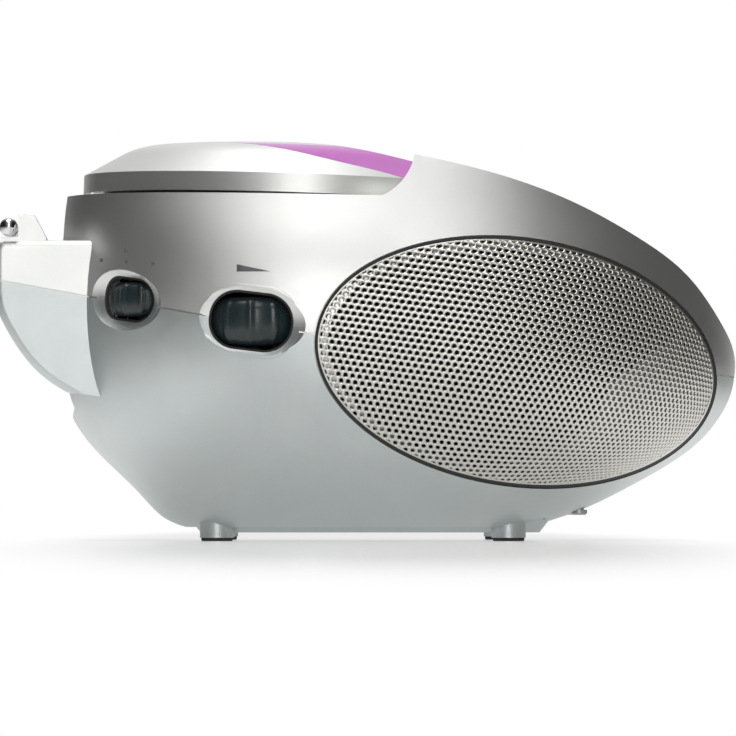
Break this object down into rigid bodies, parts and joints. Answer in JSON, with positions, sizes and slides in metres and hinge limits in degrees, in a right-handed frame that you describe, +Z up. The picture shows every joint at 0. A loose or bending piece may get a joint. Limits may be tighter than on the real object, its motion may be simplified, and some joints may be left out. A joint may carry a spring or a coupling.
{
  "type": "cd radio",
  "caption": "Portable egg-shaped disc player and radio with rear carrying handle, see-through top lid, side speakers and telescopic aerial.",
  "frame": {"origin": "middle of the rest plane under the feet, half way across the bounding box in X and Y", "axes": "+Z up, -Y towards the front (nose and control panel), +Y towards the handle, X across; the rest face is z = 0"},
  "size_m": [0.2052, 0.2258, 0.1232],
  "materials": {
    "upper_case": "silver-lacquered moulding, satin",
    "lower_case": "silver-grey moulding, satin",
    "grille_sheet": "perforated sheet, warm silver",
    "speaker_steel": "black stamped steel",
    "speaker_paper": "black pressed paper",
    "speaker_ferrite": "dark ferrite ring",
    "lid_silver": "silver-lacquered rim",
    "lid_window": "clear purple acrylic",
    "steel": "drawn steel",
    "black_plastic": "black moulding",
    "mechanism_plate": "black coated plate",
    "motor_can": "plated can",
    "turntable_hub": "black moulding",
    "guide_rods": "ground rods",
    "pickup_sled": "dark moulding",
    "pickup_lens": "coated lens in a black ring",
    "mechanism_bushes": "soft rubber",
    "sled_pinion": "white moulding",
    "control_dark": "dark blue-grey moulding",
    "plated_case": "plated case",
    "tuning_capacitor": "clear box",
    "control_panel": "dark satin moulding",
    "board_green": "green laminate",
    "clear_pane": "clear pane",
    "display_module": "liquid crystal glass",
    "dial_scale": "black strip with plain divisions",
    "dial_pointer": "orange-red moulding",
    "battery_door": "silver-grey moulding",
    "battery_contacts": "plated spring steel",
    "transformer": "laminated core with wound coil",
    "aerial_plate": "black moulding",
    "aerial_chrome": "polished plating",
    "case_screws": "zinc plated",
    "foot_pads": "soft rubber"
  },
  "bodies": {
    "body": {"upper_case": "upper_case", "lower_case": "lower_case", "left_grille": "grille_sheet", "right_grille": "grille_sheet", "left_speaker_basket": "speaker_steel", "right_speaker_basket": "speaker_steel", "left_speaker_cone": "speaker_paper", "right_speaker_cone": "speaker_paper", "left_speaker_magnet": "speaker_ferrite", "right_speaker_magnet": "speaker_ferrite", "lid_hinge_pin": "steel", "disc_well": "black_plastic", "mechanism_bushes": "mechanism_bushes", "mechanism_plate": "mechanism_plate", "spindle_motor": "motor_can", "guide_rods": "guide_rods", "sled_motor": "motor_can", "volume_pot": "plated_case", "tuning_capacitor": "tuning_capacitor", "function_switch": "plated_case", "band_switch": "plated_case", "control_panel": "control_panel", "console_board": "board_green", "display_window": "clear_pane", "display_module": "display_module", "dial_window": "clear_pane", "dial_scale": "dial_scale", "battery_contacts": "battery_contacts", "main_board": "board_green", "transformer": "transformer", "mains_inlet": "black_plastic", "aerial_plate": "aerial_plate", "case_screws": "case_screws", "foot_pads": "foot_pads"},
    "lid": {"lid_frame": "lid_silver", "lid_window": "lid_window"},
    "turntable": {"turntable_hub": "turntable_hub"},
    "sled": {"pickup_sled": "pickup_sled", "pickup_lens": "pickup_lens"},
    "pinion": {"sled_pinion": "sled_pinion"},
    "volume": {"volume_wheel": "control_dark"},
    "tuning": {"tuning_wheel": "control_dark"},
    "function": {"function_knob": "control_dark"},
    "band": {"band_knob": "control_dark"},
    "pointer": {"dial_pointer": "dial_pointer"},
    "door": {"battery_door": "battery_door"},
    "aerial_head": {"aerial_swivel": "aerial_chrome"},
    "mast_1": {"aerial_tube_1": "aerial_chrome"},
    "mast_2": {"aerial_tube_2": "aerial_chrome"},
    "mast_3": {"aerial_tube_3": "aerial_chrome"},
    "mast_tip": {"aerial_tip": "aerial_chrome"},
    "stop_key": {"stop_button": "control_dark"},
    "back_key": {"back_button": "control_dark"},
    "play_key": {"play_button": "control_dark"},
    "forward_key": {"forward_button": "control_dark"},
    "program_key": {"program_button": "control_dark"}
  },
  "joints": [
    {"name": "lid_hinge", "type": "hinge", "parent": "body", "child": "lid", "pos_m": [0, 0.0837, 0.1053], "axis": [-1, 0, 0], "range_deg": [0, 55]},
    {"name": "turntable_spin", "type": "hinge", "parent": "body", "child": "turntable", "pos_m": [0, 0.0175, 0.0984], "axis": [0, 0, 1], "continuous": true},
    {"name": "sled_slide", "type": "slide", "parent": "body", "child": "sled", "axis": [1, 0, 0], "range_m": [0, 0.023]},
    {"name": "pinion_spin", "type": "hinge", "parent": "body", "child": "pinion", "pos_m": [0.034, 0.0357, 0.0875], "axis": [0, 0, 1], "range_deg": [0, 330.45]},
    {"name": "volume_turn", "type": "hinge", "parent": "body", "child": "volume", "pos_m": [-0.08611, 0.03483, 0.0652], "axis": [0, 0, 1], "range_deg": [-135, 135]},
    {"name": "tuning_turn", "type": "hinge", "parent": "body", "child": "tuning", "pos_m": [0.08611, 0.03483, 0.0652], "axis": [0, 0, 1], "range_deg": [-150, 150]},
    {"name": "function_turn", "type": "hinge", "parent": "body", "child": "function", "pos_m": [-0.07604, 0.0678, 0.0722], "axis": [0, 0, 1], "range_deg": [-30, 30]},
    {"name": "band_turn", "type": "hinge", "parent": "body", "child": "band", "pos_m": [0.07604, 0.0678, 0.0722], "axis": [0, 0, 1], "range_deg": [-30, 30]},
    {"name": "pointer_slide", "type": "slide", "parent": "body", "child": "pointer", "axis": [1, 0, 0], "range_m": [-0.0385, 0.0385]},
    {"name": "stop_press", "type": "slide", "parent": "body", "child": "stop_key", "axis": [0, 0.5065, -0.8622], "range_m": [0, 0.0008], "stiffness_N_per_m": 400},
    {"name": "back_press", "type": "slide", "parent": "body", "child": "back_key", "axis": [0, 0.5065, -0.8622], "range_m": [0, 0.0008], "stiffness_N_per_m": 400},
    {"name": "play_press", "type": "slide", "parent": "body", "child": "play_key", "axis": [0, 0.5065, -0.8622], "range_m": [0, 0.0008], "stiffness_N_per_m": 400},
    {"name": "forward_press", "type": "slide", "parent": "body", "child": "forward_key", "axis": [0, 0.5065, -0.8622], "range_m": [0, 0.0008], "stiffness_N_per_m": 400},
    {"name": "program_press", "type": "slide", "parent": "body", "child": "program_key", "axis": [0, 0.5065, -0.8622], "range_m": [0, 0.0008], "stiffness_N_per_m": 400},
    {"name": "battery_door_hinge", "type": "hinge", "parent": "body", "child": "door", "pos_m": [0, 0.0477, 0.0037], "axis": [1, 0, 0], "range_deg": [0, 90]},
    {"name": "aerial_turn", "type": "hinge", "parent": "body", "child": "aerial_head", "pos_m": [0.058, 0.1088, 0.0942], "axis": [0, 0, 1], "range_deg": [-180, 0]},
    {"name": "aerial_elbow", "type": "hinge", "parent": "aerial_head", "child": "mast_1", "pos_m": [0.058, 0.1088, 0.0942], "axis": [0, 1, 0], "range_deg": [0, 90]},
    {"name": "aerial_pull_1", "type": "slide", "parent": "mast_1", "child": "mast_2", "axis": [-1, 0, 0], "range_m": [0, 0.1]},
    {"name": "aerial_pull_2", "type": "slide", "parent": "mast_2", "child": "mast_3", "axis": [-1, 0, 0], "range_m": [0, 0.1]},
    {"name": "aerial_pull_3", "type": "slide", "parent": "mast_3", "child": "mast_tip", "axis": [-1, 0, 0], "range_m": [0, 0.1]}
  ],
  "couplings": [
    {"joint": "pinion_spin", "follows": "sled_slide", "rad_per_m": 250},
    {"joint": "pointer_slide", "follows": "tuning_turn", "m_per_rad": 0.014515}
  ]
}
